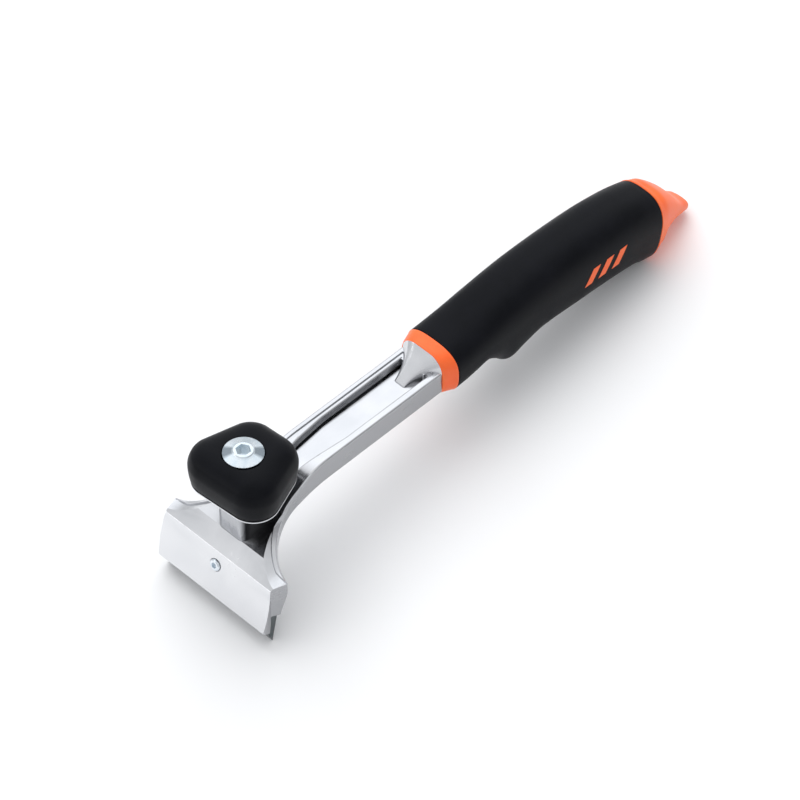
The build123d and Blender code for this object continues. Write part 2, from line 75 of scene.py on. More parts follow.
right = turned(math.cos(HEADING), -math.sin(HEADING), 0)
ahead = turned(math.sin(HEADING) * math.cos(DROP), math.cos(HEADING) * math.cos(DROP),
               -math.sin(DROP))
top = right.cross(ahead)
camera_data = bpy.data.cameras.new("camera")
camera_data.lens = LENS
camera_data.sensor_width = SENSOR_WIDTH
camera_data.clip_end = FAR_LIMIT
camera = bpy.data.objects.new("camera", camera_data)
camera.matrix_world = Matrix((right, top, -ahead)).transposed().to_4x4()
camera.location = at(*TARGET) - ahead * DISTANCE
bpy.context.scene.collection.objects.link(camera)
bpy.context.scene.camera = camera
bpy.context.scene.view_settings.view_transform = "Standard"


# ---------------------------------------------------------------- node helpers
NOISE_LOW = 0.3     # most of a noise lies between these two
NOISE_HIGH = 0.7


class Material:
    """A material under construction: its shader, and short calls for the usual nodes.

    Its first colour and roughness are plain values. Each look links its own pattern over them.
    """

    def __init__(self, name, color, roughness, metallic=0.0):
        self.material = bpy.data.materials.new(name)
        self.material.use_nodes = True
        self.tree = self.material.node_tree
        self.shader = self.tree.nodes["Principled BSDF"]
        self.shader.inputs["Metallic"].default_value = metallic
        self.shader.inputs["Base Color"].default_value = (*color, 1)
        self.shader.inputs["Roughness"].default_value = roughness
        self.place = self.node("ShaderNodeTexCoord").outputs["Object"]

    def node(self, kind, **settings):
        made = self.tree.nodes.new(kind)
        for key, value in settings.items():
            setattr(made, key, value)
        return made

    def link(self, source, sink):
        self.tree.links.new(source, sink)

    def stretched(self, x, y, z):
        """Places scaled along each axis; a pattern is drawn out along the axis that is scaled least."""
        mapping = self.node("ShaderNodeMapping")
        mapping.inputs["Scale"].default_value = (x, y, z)
        self.link(self.place, mapping.inputs["Vector"])
        return mapping.outputs["Vector"]

    def noise(self, scale, detail=3.0, rough=0.5, vector=None):
        made = self.node("ShaderNodeTexNoise")
        made.inputs["Scale"].default_value = scale
        made.inputs["Detail"].default_value = detail
        made.inputs["Roughness"].default_value = rough
        self.link(vector or self.place, made.inputs["Vector"])
        return made.outputs["Fac"]

    def remap(self, value, low, high, out_low, out_high):
        made = self.node("ShaderNodeMapRange")
        made.inputs["From Min"].default_value = low
        made.inputs["From Max"].default_value = high
        made.inputs["To Min"].default_value = out_low
        made.inputs["To Max"].default_value = out_high
        self.link(value, made.inputs["Value"])
        return made.outputs["Result"]

    def spread(self, noise, out_low, out_high):
        """A noise's usual range, mapped onto another one."""
        return self.remap(noise, NOISE_LOW, NOISE_HIGH, out_low, out_high)

    def math(self, operation, a, b):
        made = self.node("ShaderNodeMath", operation=operation)
        for socket, value in zip(made.inputs, (a, b)):
            if isinstance(value, (int, float)):
                socket.default_value = value
            else:
                self.link(value, socket)
        return made.outputs["Value"]

    def mix(self, factor, first, second):
        """first where factor is 0 and second where it is 1; each a colour or a colour's socket."""
        made = self.node("ShaderNodeMix", data_type="RGBA")
        self.link(factor, made.inputs["Factor"])
        for socket, value in ((made.inputs[6], first), (made.inputs[7], second)):
            if isinstance(value, tuple):
                socket.default_value = (*value, 1)
            else:
                self.link(value, socket)
        return made.outputs[2]

    def tint(self, noise, first, second, start=NOISE_LOW):
        """A colour that follows a noise: first where it is at start or lower, second where high."""
        return self.mix(self.remap(noise, start, NOISE_HIGH, 0, 1), first, second)

    def vector(self, operation, a, b=None, result="Vector"):
        """Vector arithmetic on a socket and, where it takes one, a constant."""
        made = self.node("ShaderNodeVectorMath", operation=operation)
        self.link(a, made.inputs[0])
        if b is not None:
            made.inputs[1].default_value = b
        return made.outputs[result]

    def bump(self, height, strength, distance, normal=None):
        """Relief over a normal; distance is its depth in metres."""
        made = self.node("ShaderNodeBump")
        made.inputs["Strength"].default_value = strength
        made.inputs["Distance"].default_value = distance
        self.link(height, made.inputs["Height"])
        if normal:
            self.link(normal, made.inputs["Normal"])
        return made.outputs["Normal"]

    def edges(self, low, high):
        """1 on worn outer edges, 0 on open faces."""
        return self.remap(self.node("ShaderNodeNewGeometry").outputs["Pointiness"], low, high, 0, 1)

    def facing(self, direction, low, high):
        """1 on faces square to a direction, to either side, and 0 on faces that it runs along."""
        normal = self.node("ShaderNodeNewGeometry").outputs["Normal"]
        dot = self.vector("DOT_PRODUCT", normal, direction, "Value")
        return self.remap(self.math("ABSOLUTE", dot, 0), low, high, 0, 1)

    def set(self, **sockets):
        """Constants and links for the shader's own sockets; spaces in their names are underscores."""
        for key, value in sockets.items():
            socket = self.shader.inputs[key.replace("_", " ")]
            if isinstance(value, bpy.types.NodeSocket):
                self.link(value, socket)
            else:
                socket.default_value = value
        return self.material


# ---------------------------------------------------------------- materials
def cast_aluminium():
    """Polished casting: mirror-like with faint waves, fine polishing lines, and duller sides darkened by
    painted shade.
    """
    m = Material("cast_aluminium", (0.80, 0.81, 0.835), 0.2, 1.0)
    cloud = m.noise(38, 4, 0.55)
    lines = m.noise(900, 3, 0.6, m.stretched(0.08, 1, 1))
    pits = m.noise(2600, 2, 0.5)
    color = m.tint(cloud, (0.67, 0.68, 0.70), (0.78, 0.785, 0.80), 0.35)
    color = m.mix(m.edges(0.52, 0.62), color, (0.80, 0.805, 0.82))
    # Painted shade: faces square to across are painted darker, standing in for the shadowed floor that
    # they reflect; they are also made rougher.
    painted_shade_and_duller_sides = m.facing(across, 0.45, 0.95)
    color = m.mix(painted_shade_and_duller_sides, color, (0.42, 0.425, 0.44))
    rough = m.math("ADD", m.spread(cloud, 0.13, 0.24), m.spread(lines, -0.02, 0.05))
    rough = m.math("ADD", rough, m.remap(painted_shade_and_duller_sides, 0, 1, 0, 0.1))
    waves = m.bump(m.noise(55, 2, 0.5), 0.25, 0.0006)
    scratches = m.bump(lines, 0.06, 0.00006, waves)
    return m.set(Base_Color=color, Roughness=rough, Normal=m.bump(pits, 0.05, 0.00003, scratches))


def post_metal():
    """The post under the knob: brushed, with painted shade that makes its two side faces near black."""
    m = Material("post_metal", (0.68, 0.69, 0.71), 0.14, 1.0)
    lines = m.noise(700, 3, 0.6, m.stretched(1, 1, 0.1))
    rough = m.spread(lines, 0.1, 0.22)
    color = m.tint(lines, (0.42, 0.43, 0.45), (0.52, 0.53, 0.55))
    # Painted shade: the post's two side faces are painted near black, standing in for the shadowed head
    # and knob that they reflect.
    color = m.mix(m.facing(across, 0.3, 0.8), color, (0.02, 0.02, 0.022))
    return m.set(Base_Color=color, Roughness=rough, Normal=m.bump(lines, 0.05, 0.00005))


def plated_steel():
    """Bright zinc plating with a cool, slightly cloudy film."""
    m = Material("plated_steel", (0.74, 0.80, 0.86), 0.2, 1.0)
    cloud = m.noise(260, 4, 0.6)
    color = m.tint(cloud, (0.70, 0.77, 0.83), (0.84, 0.88, 0.91))
    return m.set(Base_Color=color, Roughness=m.spread(cloud, 0.14, 0.27),
                 Normal=m.bump(m.noise(1800, 3, 0.6), 0.05, 0.00004))


TURNING_RINGS = 22000     # radians of the rings' wave per metre, a ring every 0.29 mm
PAINTED_DARK_FROM = 0.0044        # distance from the knob's axis at which the sectors of painted dark reflection begin
PAINTED_DARK_FULL = 0.0052


def turned_plate():
    """The bolt's head: plated, with fine rings of turning and two sectors of painted dark reflection on
    its bevel.
    """
    m = Material("turned_plate", (0.74, 0.80, 0.86), 0.22, 1.0)
    tangent = m.vector("CROSS_PRODUCT", m.vector("SUBTRACT", m.place, at(KNOB_X, 0, AXIS_Z)), up)
    radius = m.vector("LENGTH", tangent, result="Value")
    rings = m.math("SINE", m.math("MULTIPLY", radius, TURNING_RINGS), 0)
    cloud = m.noise(300, 4, 0.6)
    color = m.tint(cloud, (0.66, 0.75, 0.81), (0.84, 0.89, 0.92))
    heading = m.vector("NORMALIZE", tangent)
    # Painted reflection: two sectors of the bevel, in fixed directions of the tool, are painted dark, as
    # the dark surroundings would show in turned metal.
    sector = m.vector("DOT_PRODUCT", heading, (along + across).normalized(), "Value")
    inside = m.remap(m.math("ABSOLUTE", sector, 0), 0.88, 0.97, 0, 1)
    painted_dark_reflection = m.math("MULTIPLY", inside, m.remap(radius, PAINTED_DARK_FROM, PAINTED_DARK_FULL, 0, 1))
    color = m.mix(painted_dark_reflection, color, (0.26, 0.30, 0.33))
    rough = m.spread(cloud, 0.2, 0.3)
    return m.set(Base_Color=color, Roughness=rough, Anisotropic=0.7, Tangent=tangent,
                 Normal=m.bump(rings, 0.06, 0.00002))


def plate_steel():
    """Dark plate under the knob, worn bright along its edge."""
    m = Material("plate_steel", (0.05, 0.05, 0.055), 0.3, 1.0)
    cloud = m.noise(300, 4, 0.6)
    color = m.tint(cloud, (0.035, 0.035, 0.04), (0.07, 0.07, 0.075))
    color = m.mix(m.facing(up, 0.75, 0.5), color, (0.75, 0.76, 0.78))
    return m.set(Base_Color=color, Roughness=m.spread(cloud, 0.22, 0.36),
                 Normal=m.bump(cloud, 0.1, 0.00005))


def clamp_steel():
    """Plain steel with milling lines that run across the tool."""
    m = Material("clamp_steel", (0.45, 0.46, 0.48), 0.35, 1.0)
    lines = m.noise(800, 4, 0.6, m.stretched(1, 0.06, 1))
    color = m.tint(lines, (0.38, 0.39, 0.41), (0.52, 0.53, 0.55))
    return m.set(Base_Color=color, Roughness=m.spread(lines, 0.28, 0.45),
                 Normal=m.bump(lines, 0.15, 0.00005))


def blade_steel():
    """Dark hardened blade steel with grinding lines square to the edge."""
    m = Material("blade_steel", (0.12, 0.135, 0.14), 0.4, 0.85)
    lines = m.noise(1500, 4, 0.65, m.stretched(0.05, 1, 0.05))
    color = m.tint(lines, (0.075, 0.09, 0.095), (0.16, 0.175, 0.18))
    color = m.mix(m.edges(0.55, 0.65), color, (0.4, 0.41, 0.42))
    return m.set(Base_Color=color, Roughness=m.spread(lines, 0.3, 0.5),
                 Normal=m.bump(lines, 0.2, 0.00005))


def carbide():
    """Grey sintered carbide with a fine grain."""
    m = Material("carbide", (0.16, 0.17, 0.18), 0.3, 1.0)
    grains = m.noise(3000, 3, 0.6)
    color = m.tint(grains, (0.13, 0.14, 0.145), (0.22, 0.23, 0.24))
    return m.set(Base_Color=color, Roughness=m.spread(grains, 0.22, 0.36),
                 Normal=m.bump(grains, 0.1, 0.00003))


def soft_black(name, grain):
    """Soft-touch moulding: near black with a cool cast, fine spark-eroded grain and faint rub marks."""
    m = Material(name, (0.005, 0.006, 0.009), 0.5)
    rub = m.noise(70, 4, 0.6)
    fine = m.noise(grain, 2, 0.5)
    color = m.tint(rub, (0.0025, 0.003, 0.0045), (0.005, 0.0055, 0.008), 0.35)
    color = m.mix(m.edges(0.53, 0.6), color, (0.014, 0.015, 0.019))
    rough = m.math("ADD", m.spread(rub, 0.36, 0.5), m.spread(fine, -0.04, 0.04))
    return m.set(Base_Color=color, Roughness=rough, Specular_IOR_Level=0.1,
                 Normal=m.bump(fine, 0.16, 0.00008))


def black_plastic():
    """Hard black moulding with a fine grain."""
    m = Material("black_plastic", (0.02, 0.02, 0.022), 0.5)
    fine = m.noise(1200, 2, 0.5)
    color = m.tint(fine, (0.016, 0.016, 0.018), (0.028, 0.028, 0.03))
    return m.set(Base_Color=color, Roughness=m.spread(fine, 0.45, 0.6),
                 Normal=m.bump(fine, 0.1, 0.00006))


def orange_plastic():
    """Satin orange moulding: fine grain, slight flow clouding, a little light in its thin edges."""
    m = Material("orange_plastic", (0.95, 0.15, 0.025), 0.4)
    flow = m.noise(90, 4, 0.6)
    fine = m.noise(1500, 2, 0.5)
    color = m.tint(flow, (1.0, 0.125, 0.014), (1.0, 0.165, 0.026), 0.35)
    rough = m.math("ADD", m.spread(flow, 0.34, 0.44), m.spread(fine, -0.03, 0.03))
    return m.set(Base_Color=color, Roughness=rough, Subsurface_Weight=0.06, Subsurface_Scale=0.002,
                 Normal=m.bump(fine, 0.12, 0.00006))


def nylon():
    """Natural nylon, off-white."""
    m = Material("nylon", (0.72, 0.71, 0.66), 0.4)
    fine = m.noise(900, 3, 0.6)
    color = m.tint(fine, (0.68, 0.67, 0.62), (0.78, 0.77, 0.72))
    return m.set(Base_Color=color, Roughness=m.spread(fine, 0.35, 0.5),
                 Normal=m.bump(fine, 0.08, 0.00005))


def floor_paint():
    """A plain pale floor with the faintest clouding."""
    m = Material("floor_paint", (0.9, 0.9, 0.9), 0.6)
    cloud = m.noise(3, 3, 0.5)
    color = m.tint(cloud, (0.90, 0.90, 0.90), (0.93, 0.93, 0.93))
    return m.set(Base_Color=color, Roughness=m.spread(cloud, 0.55, 0.7))


looks = {
    "cast_aluminium": cast_aluminium(),
    "post_metal": post_metal(),
    "plated_steel": plated_steel(),
    "plate_steel": plate_steel(),
    "clamp_steel": clamp_steel(),
    "blade_steel": blade_steel(),
    "carbide": carbide(),
    "black_rubber": soft_black("black_rubber", 1700),
    "black_plastic": black_plastic(),
    "orange_plastic": orange_plastic(),
    "nylon": nylon(),
}
bolt_look = turned_plate()


# ---------------------------------------------------------------- CAD pieces that stay
WELD_GAP = 0.002             # vertices closer than this are joined before bevelling
BEVEL_SEGMENTS = 3
SHARP_ANGLE = math.radians(28)
FLAT_WEIGHT = 80
EDGE_RADIUS = {              # of each piece's softened edges
    "blade_body": 0.1,
    "carbide_edge": 0.04,
    "blade_clamp_bar": 0.25,
    "clamp_guide_pins": 0.1,
    "blade_screw": 0.12,
    "knob_post": 0.4,
    "knob_thrust_washer": 0.1,
    "knob_base_plate": 0.25,
    "knob_core": 0.2,
    "knob_bolt": 0.18,
    "knob_nut_washer": 0.12,
    "knob_nut": 0.25,
    "tang_pins": 0.1,
    "handle_core": 0.3,
}


def soften(node, radius):
    """Breaks the sharp edges of a CAD piece, as tumbling or polishing does."""
    weld = node.modifiers.new("weld", "WELD")
    weld.merge_threshold = WELD_GAP * MM
    bevel = node.modifiers.new("bevel", "BEVEL")
    bevel.width = radius * MM
    bevel.segments = BEVEL_SEGMENTS
    bevel.limit_method = "ANGLE"
    bevel.angle_limit = SHARP_ANGLE
    bevel.use_clamp_overlap = True
    node.modifiers.new("normals", "WEIGHTED_NORMAL").weight = FLAT_WEIGHT


for name in ["scraper_body", *EDGE_RADIUS]:
    node = frame["nodes"][name]
    cad_look = node.material_slots[0].material.name.split(".")[0]
    node.data.materials[0] = bolt_look if name == "knob_bolt" else looks[cad_look]
    if name in EDGE_RADIUS:
        soften(node, EDGE_RADIUS[name])


# ---------------------------------------------------------------- mesh helpers
def mesh_object(name, points, faces, look):
    """A new object in the scene, made of points and faces, in one material."""
    mesh = bpy.data.meshes.new(name)
    mesh.from_pydata(points, [], faces)
    mesh.validate()
    mesh.materials.append(look)
    piece = bpy.data.objects.new(name, mesh)
    bpy.context.scene.collection.objects.link(piece)
    return piece


def ring_mesh(name, rings, body, slot_name, nodes, capped=True):
    """A closed skin through rings of equal length. Its two ends are filled, or joined if not capped."""
    count = len(rings[0])
    points = [p for ring in rings for p in ring]
    faces = []
    for r in range(len(rings) - 1 if capped else len(rings)):
        here = r * count
        there = ((r + 1) % len(rings)) * count
        for i in range(count):
            j = (i + 1) % count
            faces.append((here + i, here + j, there + j, there + i))
    if capped:
        faces.append(tuple(reversed(range(count))))
        faces.append(tuple(range(len(points) - count, len(points))))
    piece = mesh_object(name, points, faces, looks[slot_name])
    piece.data.shade_smooth()
    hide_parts(*nodes)
    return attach(piece, body)


# ---------------------------------------------------------------- handle
AROUND = 96                  # points round each section
SQUARENESS = 2.7             # power of the sections' squared ellipse; 2 would be a plain one
# Each section: x, half width, then the heights of its bottom, its widest line and its top.
COLLAR_FRONT = (123.0, 13.0, 12.4, 24.2, 36.0)
COLLAR_REAR = (130.0, 15.8, 11.0, 24.6, 36.4)
SLEEVE = [
    COLLAR_REAR,
    (134.0, 15.8, 11.5, 24.9, 36.7),
    (138.0, 15.8, 12.1, 25.2, 37.1),
    (144.0, 15.7, 13.6, 25.6, 38.0),
    (150.0, 15.6, 15.0, 26.0, 39.1),
    (158.0, 15.6, 9.4, 26.4, 40.8),
    (166.0, 15.6, 2.6, 26.7, 42.2),
    (174.0, 15.7, 5.6, 27.0, 43.4),
    (185.0, 15.8, 9.4, 27.2, 44.5),
    (206.0, 15.8, 9.0, 27.4, 45.2),
    (228.0, 15.8, 8.3, 26.8, 44.5),
    (244.0, 15.6, 6.8, 25.4, 42.6),
    (250.0, 15.6, 4.9, 24.2, 41.2),
    (257.8, 15.45, 3.75, 21.8, 38.9),
]
TAIL = [
    SLEEVE[-1],
    (263.0, 14.0, 7.8, 22.8, 37.8),
    (266.5, 12.6, 11.0, 23.8, 36.4),
    (274.0, 9.8, 12.6, 21.0, 29.2),
    (281.0, 7.4, 12.0, 16.2, 20.4),
    (287.5, 5.3, 10.2, 13.0, 15.8),
]
LEAN_START = 246.0           # from here back, the sections lean until the joint with the tail
REAR_LEAN = 10.5             # degrees

COLLAR_STEPS = 6             # stretches of the collar between its two lips
SLEEVE_STEP = 1.5            # spacing of the sleeve's rings
SLEEVE_MARGIN = 1.2          # least distance of the last of them from its rear end
TAIL_STEP = 0.8
TAIL_MARGIN = 1.0

LIP_STEPS = 4                # stretches of each rounded end edge
COLLAR_FRONT_RADIUS = 0.5
COLLAR_REAR_RADIUS = 0.35
SLEEVE_FRONT_RADIUS = 0.6
SLEEVE_REAR_RADIUS = 0.5
TAIL_FRONT_RADIUS = 0.4
TAIL_RADIUS = 1.6

CORE_HALF = 10.5             # the square core that collar and sleeve sit on
CORE_LOW = 17.0
CORE_HIGH = 32.5
CORE_END = 250.0
PLUG_HALF = 6.0              # the tail's square plug, inside the sleeve
PLUG_Z = (CORE_LOW + CORE_HIGH) / 2
PLUG_START = 14.0            # its two ends, before the tail's front
PLUG_END = 1.0


def smooth_between(sections, x):
    """The section at x on a smooth line through the given ones: (half, low, mid, high)."""
    last = len(sections) - 2
    k = next((i for i in range(last + 1) if x <= sections[i + 1][0]), last)
    before, here, there, after = (sections[max(0, min(len(sections) - 1, k + d))] for d in (-1, 0, 1, 2))
    span = there[0] - here[0]
    t = (x - here[0]) / span
    result = []
    for c in range(1, len(here)):
        start = (there[c] - before[c]) / max(there[0] - before[0], span)
        end = (after[c] - here[c]) / max(after[0] - here[0], span)
        result.append(
            (2 * t ** 3 - 3 * t ** 2 + 1) * here[c] + (t ** 3 - 2 * t ** 2 + t) * span * start
            + (3 * t ** 2 - 2 * t ** 3) * there[c] + (t ** 3 - t ** 2) * span * end
        )
    return result


def ring_turns():
    """The directions of a section's points, from its middle."""
    return [2 * math.pi * (i + 0.5) / AROUND for i in range(AROUND)]


def section(x, half, low, mid, high, inset=0.0, lean=0.0):
    """A ring of the squared ellipse at x, smaller by inset, its top leaning back by lean degrees."""
    centre = (low + high) / 2
    lean = math.radians(lean)
    ring = []
    for turn in ring_turns():
        cos, sin = math.cos(turn), math.sin(turn)
        reach = (abs(cos) ** SQUARENESS + abs(sin) ** SQUARENESS) ** (-1 / SQUARENESS)
        tall = (high - mid if sin > 0 else mid - low) - inset
        rise = mid - centre + tall * reach * sin
        side = (half - inset) * reach * cos
        ring.append(at(x + rise * math.sin(lean), side, centre + rise * math.cos(lean)))
    return ring


def box_ring(x, half, low, high):
    """A ring on a rectangle, with its points in step with a section's."""
    mid = (low + high) / 2
    tall = (high - low) / 2
    ring = []
    for turn in ring_turns():
        reach = 1 / max(abs(math.cos(turn)), abs(math.sin(turn)))
        ring.append(at(x, half * reach * math.cos(turn), mid + tall * reach * math.sin(turn)))
    return ring


def core_ring(x):
    """A ring round the handle's core."""
    return box_ring(x, CORE_HALF, CORE_LOW, CORE_HIGH)


def lip(place, radius, sign, lean=0.0):
    """Rings that round an end edge; sign is 1 where the piece lies behind it and -1 where before."""
    x, *sizes = place
    rings = []
    for step in range(LIP_STEPS + 1):
        angle = math.pi / 2 * step / LIP_STEPS
        back = sign * radius * (1 - math.sin(angle))
        rings.append(section(x + back, *sizes, radius * (1 - math.cos(angle)), lean))
    return rings


def collar():
    """The orange ring between the casting and the sleeve."""
    rings = [core_ring(COLLAR_FRONT[0])]
    rings += reversed(lip(COLLAR_FRONT, COLLAR_FRONT_RADIUS, 1))
    for step in range(1, COLLAR_STEPS):
        t = step / COLLAR_STEPS
        rings.append(section(*(a + t * (b - a) for a, b in zip(COLLAR_FRONT, COLLAR_REAR))))
    rings += lip(COLLAR_REAR, COLLAR_REAR_RADIUS, -1)
    rings.append(core_ring(COLLAR_REAR[0]))
    return ring_mesh("collar_orange", rings, "frame", "orange_plastic", ["front_collar"], capped=False)


def sleeve():
    """The soft black grip, with its finger stop and heel, round the core."""
    front, rear = SLEEVE[0], SLEEVE[-1]
    rings = [core_ring(front[0])]
    rings += reversed(lip(front, SLEEVE_FRONT_RADIUS, 1))
    x = front[0] + SLEEVE_STEP
    while x < rear[0] - SLEEVE_MARGIN:
        lean = REAR_LEAN * max(0, (x - LEAN_START) / (rear[0] - LEAN_START))
        rings.append(section(x, *smooth_between(SLEEVE, x), lean=lean))
        x += SLEEVE_STEP
    rings += lip(rear, SLEEVE_REAR_RADIUS, -1, REAR_LEAN)
    rings.append(core_ring(CORE_END))
    return ring_mesh("sleeve_soft", rings, "frame", "black_rubber", ["grip_sleeve"], capped=False)


def tail_cap():
    """The orange tail with its blunt tongue, and its plug in front."""
    front, rear = TAIL[0], TAIL[-1]
    rings = [
        box_ring(front[0] - ahead_of, PLUG_HALF, PLUG_Z - PLUG_HALF, PLUG_Z + PLUG_HALF)
        for ahead_of in (PLUG_START, PLUG_END)
    ]
    rings += reversed(lip(front, TAIL_FRONT_RADIUS, 1, REAR_LEAN))
    x = front[0] + TAIL_MARGIN
    while x < rear[0] - TAIL_RADIUS:
        lean = REAR_LEAN * max(0, 1 - (x - front[0]) / (TAIL[1][0] - front[0]))
        rings.append(section(x, *smooth_between(TAIL, x), lean=lean))
        x += TAIL_STEP
    rings += lip(rear, TAIL_RADIUS, -1)
    return ring_mesh("tail_orange", rings, "frame", "orange_plastic", ["end_cap"])


# ---------------------------------------------------------------- marks on the sleeve
MARK_X = 214.0               # the first bar's place, and the distance from each bar to the next
MARK_PITCH = 8.5
MARK_BARS = 3
MARK_LOW = 23.5
MARK_TALL = 8.0
MARK_WIDE = 4.5
MARK_SLANT = 5.5             # how far a bar's foot lies in front of its top
MARK_DEPTHS = (0.07, -0.4)   # its outer and inner layer, from the sleeve's face
MARK_ROWS = 12
MARK_COLUMNS = 4


def side_reach(x, z):
    """Half width of the sleeve at a point of its side."""
    half, low, mid, high = smooth_between(SLEEVE, x)
    rise = (z - mid) / (high - mid) if z > mid else (mid - z) / (mid - low)
    return half * (1 - rise ** SQUARENESS) ** (1 / SQUARENESS)


def bar_point(side, start, depth, row, column):
    """A point of one of a bar's layers, on the sleeve's side; start is the place of the bar."""
    t = row / MARK_ROWS
    x = start - MARK_SLANT * (1 - t) + MARK_WIDE * column / MARK_COLUMNS
    z = MARK_LOW + MARK_TALL * t
    return at(x, side * (side_reach(x, z) + depth), z)


def bar_faces(first):
    """Faces of the bar whose points begin at first: its two layers and the wall round them."""
    wide = MARK_COLUMNS + 1
    layer = (MARK_ROWS + 1) * wide
    faces = []
    for row in range(MARK_ROWS):
        for column in range(MARK_COLUMNS):
            a = first + row * wide + column
            quad = (a, a + 1, a + wide + 1, a + wide)
            faces += [quad, tuple(i + layer for i in reversed(quad))]
    rim = [first + column for column in range(wide)]
    rim += [first + row * wide + MARK_COLUMNS for row in range(1, MARK_ROWS + 1)]
    rim += [first + MARK_ROWS * wide + column for column in reversed(range(MARK_COLUMNS))]
    rim += [first + row * wide for row in range(MARK_ROWS - 1, 0, -1)]
    return faces + [(a, a + layer, b + layer, b) for a, b in zip(rim, rim[1:] + rim[:1])]


def side_marks():
    """Three slanting bars on each side, a hair proud of the sleeve."""
    points, faces = [], []
    for side in (-1, 1):
        for bar in range(MARK_BARS):
            one_bar = bar_faces(len(points))
            faces += one_bar if side < 0 else [tuple(reversed(face)) for face in one_bar]
            points += [
                bar_point(side, MARK_X + bar * MARK_PITCH, depth, row, column)
                for depth in MARK_DEPTHS
                for row in range(MARK_ROWS + 1)
                for column in range(MARK_COLUMNS + 1)
            ]
    piece = mesh_object("side_marks", points, faces, looks["orange_plastic"])
    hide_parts("grip_mark")
    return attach(piece, "frame")


collar()
sleeve()
tail_cap()
side_marks()

# ---------------------------------------------------------------- knob
KNOB_TURN = math.radians(4.0)    # the knob's rest position, turned a little about its bolt
KNOB_FRONT = 18.0                # reach of the plan in front of the bolt and behind it
KNOB_REAR = 22.5
KNOB_FRONT_HALF = 23.0
KNOB_REAR_HALF = 18.0
KNOB_CORNER = 12.5               # radius of the plan's corners
CORNER_POINTS = 24               # points round each corner
CORE_INSET = 7.0
CORE_TOP = 46.0
BOLT_WELL = 9.35                 # radius of the hole round the bolt's head
WELL_EDGE = 0.5                  # rounding where the top runs into it
KNOB_PROFILE = [                 # step, height and inset from the widest outline
    (0, 30.3, 1.9), (1, 31.0, 1.1), (2, 34.0, 0.4), (3, 38.0, 0.0), (4, 41.0, 0.05), (5, 44.5, 1.2),
    (6, 46.2, 2.65), (7, 47.5, 4.5), (8, 48.4, 6.7), (9, 48.9, 8.8), (10, 49.1, 10.5),
]
PROFILE_FINE = 4                 # rings for each step of the profile
RIM_STEP = 8                     # the step up to which rings follow the plan
TOP_START = 4.0                  # the step from which the domed top is searched
TOP_FINE = 0.05
# Centres of the corners, from the bolt.
FRONT_X, REAR_X = KNOB_CORNER - KNOB_FRONT, KNOB_REAR - KNOB_CORNER
FRONT_Y, REAR_Y = KNOB_FRONT_HALF - KNOB_CORNER, KNOB_REAR_HALF - KNOB_CORNER


def knob_outline(inset):
    """Places on the knob's plan: an arc round each corner of a trapezoid that is wider in front."""
    flank = math.atan2(REAR_X - FRONT_X, FRONT_Y - REAR_Y)
    full = 2 * math.pi
    corners = [
        (REAR_X, REAR_Y, 0, flank),
        (FRONT_X, FRONT_Y, flank, math.pi),
        (FRONT_X, -FRONT_Y, math.pi, full - flank),
        (REAR_X, -REAR_Y, full - flank, full),
    ]
    radius = KNOB_CORNER - inset
    places = []
    for x, y, start, end in corners:
        for i in range(CORNER_POINTS):
            turn = start + (end - start) * i / (CORNER_POINTS - 1)
            places.append((x + radius * math.cos(turn), y + radius * math.sin(turn)))
    return places


def circle_outline(radius):
    """Places on a circle round the bolt, in step with the knob's outline."""
    places = []
    for x, y in knob_outline(0):
        length = math.hypot(x, y)
        places.append((radius * x / length, radius * y / length))
    return places


def inset_at(x, y):
    """How far a place of the plan lies inside the knob's widest outline, at most the corners' radius.

    It is exact along the flanks and the ends, and nearly so round the rear corners.
    """
    y = abs(y)
    run, fall = REAR_X - FRONT_X, FRONT_Y - REAR_Y
    t = ((x - FRONT_X) * run - (y - FRONT_Y) * fall) / (run ** 2 + fall ** 2)
    t = max(0.0, min(1.0, t))
    off_flank = math.hypot(x - FRONT_X - t * run, y - FRONT_Y + t * fall)
    inside_flank = (y - FRONT_Y) * run + (x - FRONT_X) * fall < 0
    if inside_flank and FRONT_X <= x <= REAR_X:
        return KNOB_CORNER
    if inside_flank and y < (FRONT_Y if x < FRONT_X else REAR_Y):
        return KNOB_CORNER - max(FRONT_X - x, x - REAR_X)
    return KNOB_CORNER - off_flank


def top_height(x, y):
    """Height of the knob's domed top at a place of the plan."""
    inset = inset_at(x, y)
    step = TOP_START
    while step < KNOB_PROFILE[-1][0] and smooth_between(KNOB_PROFILE, step)[1] < inset:
        step += TOP_FINE
    return smooth_between(KNOB_PROFILE, step)[0]


def knob_ring(places, heights):
    """The places at their heights, as a ring turned about the bolt."""
    cos, sin = math.cos(KNOB_TURN), math.sin(KNOB_TURN)
    return [
        at(KNOB_X + x * cos - y * sin, x * sin + y * cos, high)
        for (x, y), high in zip(places, heights)
    ]


def level_ring(places, height):
    """The places at one height, as a ring turned about the bolt."""
    return knob_ring(places, [height] * len(places))


def knob_top(rim, mouth):
    """Rings over the domed top, from its rim to the mouth of the bolt's well."""
    rings = []
    for t in (0.2, 0.4, 0.6, 0.8, 1.0):
        places = [(a[0] + t * (b[0] - a[0]), a[1] + t * (b[1] - a[1])) for a, b in zip(rim, mouth)]
        rings.append(knob_ring(places, [top_height(x, y) for x, y in places]))
    return rings


def well_edge(mouth):
    """Rings that round the top's edge down into the bolt's well."""
    heights = [top_height(x, y) for x, y in mouth]
    rings = []
    for angle in (math.pi / 6, math.pi / 3, math.pi / 2):
        places = circle_outline(BOLT_WELL + WELL_EDGE * (1 - math.sin(angle)))
        drop = WELL_EDGE * (1 - math.cos(angle))
        rings.append(knob_ring(places, [high - drop for high in heights]))
    return rings


